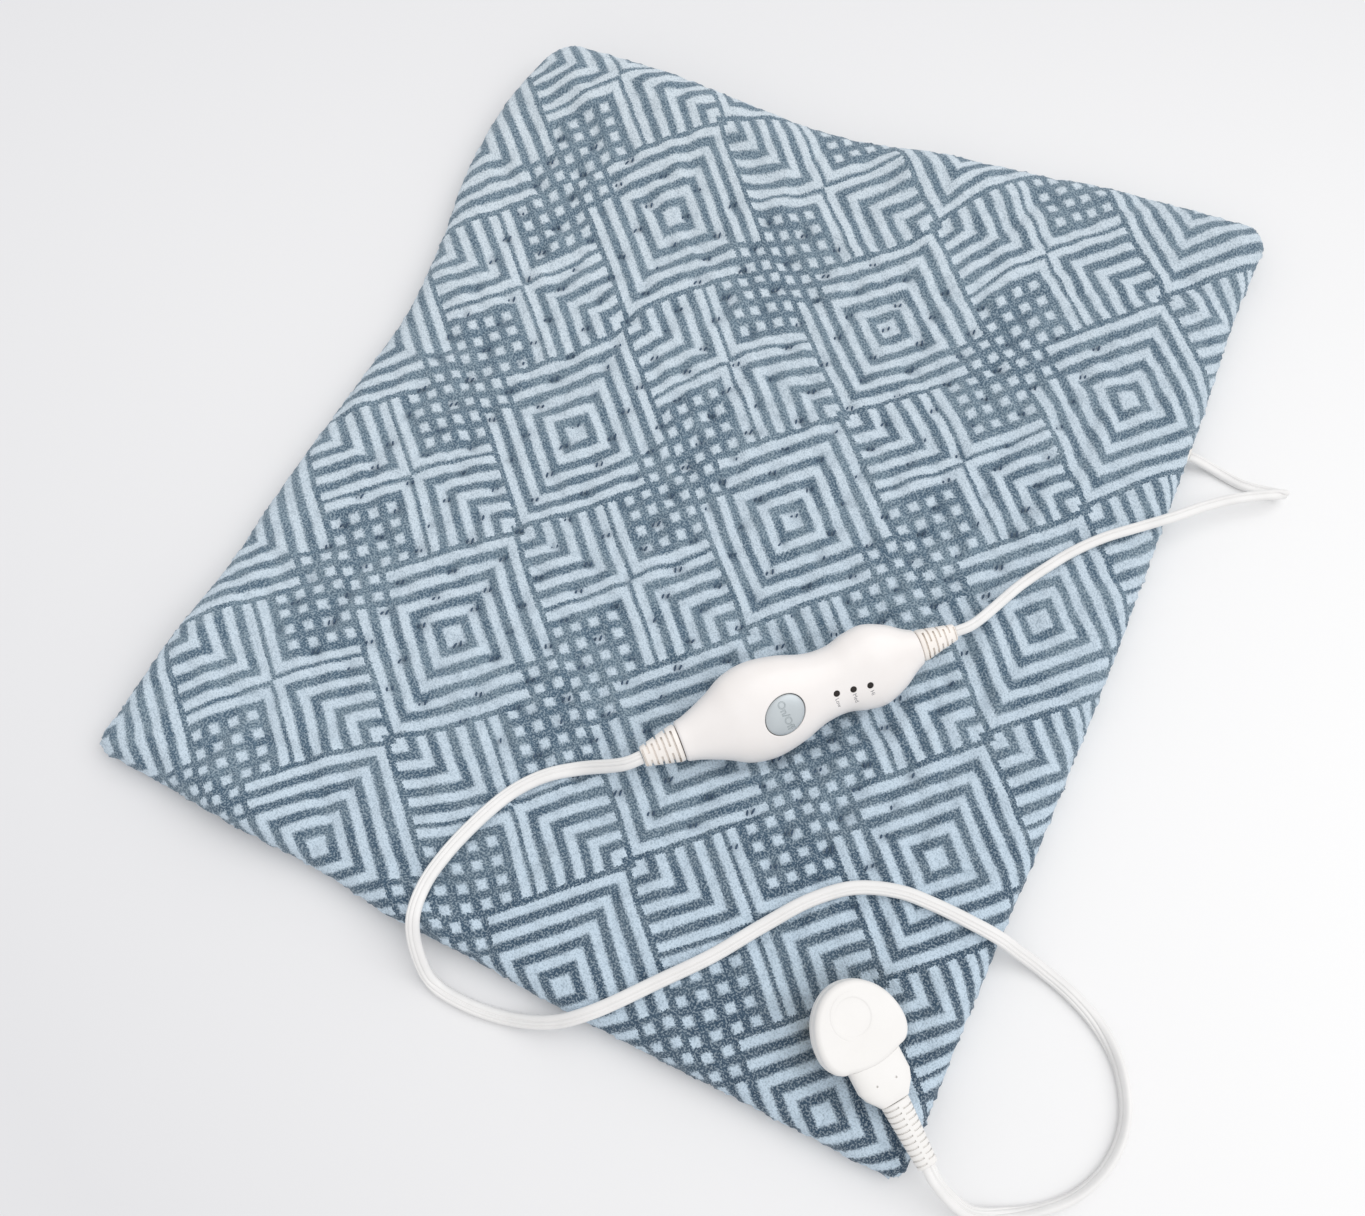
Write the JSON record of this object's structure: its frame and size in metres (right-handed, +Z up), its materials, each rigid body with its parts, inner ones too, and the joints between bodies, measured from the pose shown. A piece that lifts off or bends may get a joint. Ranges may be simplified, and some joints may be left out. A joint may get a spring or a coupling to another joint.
{
  "type": "heating pad with controller",
  "caption": "Soft rectangular heating pad with a plush patterned cover, a waisted hand controller with a press button and status lights on its lead, and a flat mains plug on a long free lead.",
  "frame": {"origin": "middle of the pad's footprint, on the surface that the pad lies on", "axes": "+X across the pad towards the side where its lead enters, +Y along the pad away from the end where the plug lies, +Z up"},
  "size_m": [0.377, 0.393, 0.0359],
  "materials": {
    "plush_cover": "short plush pile, two blues in a woven lattice ornament",
    "under_cover": "short plush pile",
    "carrier_felt": "thin felt",
    "wire_sleeve": "smooth silicone sleeve",
    "thermostat_metal": "plain copper-coloured case",
    "white_plastic": "satin warm white",
    "button_plastic": "satin light grey",
    "circuit_board": "satin green",
    "dark_plastic": "matt",
    "smoked_lens": "dark translucent, unlit",
    "steel": "plain",
    "blade_brass": "plain",
    "lead_vinyl": "smooth soft vinyl, warm white"
  },
  "bodies": {
    "pad": {"pad_cover_top": "plush_cover", "pad_cover_bottom": "under_cover", "heating_sheet": "carrier_felt", "heating_wire": "wire_sleeve", "thermostat_1": "thermostat_metal", "thermostat_2": "thermostat_metal", "pad_lead_entry": "white_plastic", "controller_top_cover": "white_plastic", "controller_bottom_cover": "white_plastic", "circuit_board": "circuit_board", "tact_switch_body": "dark_plastic", "led_low": "smoked_lens", "led_medium": "smoked_lens", "led_high": "smoked_lens", "triac": "dark_plastic", "fuse": "steel", "capacitor": "dark_plastic", "control_chip": "dark_plastic", "mains_terminal": "circuit_board", "pad_terminal": "circuit_board", "mains_wire_1": "dark_plastic", "mains_wire_2": "dark_plastic", "pad_wire_1": "dark_plastic", "pad_wire_2": "dark_plastic", "housing_screw_rear": "steel", "housing_screw_front": "steel", "strain_relief_mains": "white_plastic", "strain_relief_pad": "white_plastic", "plug_head": "white_plastic", "plug_neck": "white_plastic", "plug_core": "dark_plastic", "plug_blade_left": "blade_brass", "plug_blade_right": "blade_brass", "plug_strain_relief": "white_plastic", "mains_lead": "lead_vinyl", "pad_lead": "lead_vinyl"},
    "button": {"power_button": "button_plastic"},
    "switch_plunger": {"tact_switch_plunger": "dark_plastic"}
  },
  "joints": [
    {"name": "button_press", "type": "slide", "parent": "pad", "child": "button", "axis": [-0.3888, 0.36, -0.848], "range_m": [0, 0.0006], "stiffness_N_per_m": 400, "springref_m": -0.0004},
    {"name": "plunger_press", "type": "slide", "parent": "pad", "child": "switch_plunger", "axis": [-0.3888, 0.36, -0.848], "range_m": [0, 0.0006], "stiffness_N_per_m": 100, "springref_m": -0.0004}
  ],
  "couplings": [
    {"joint": "plunger_press", "follows": "button_press", "ratio": 1}
  ]
}
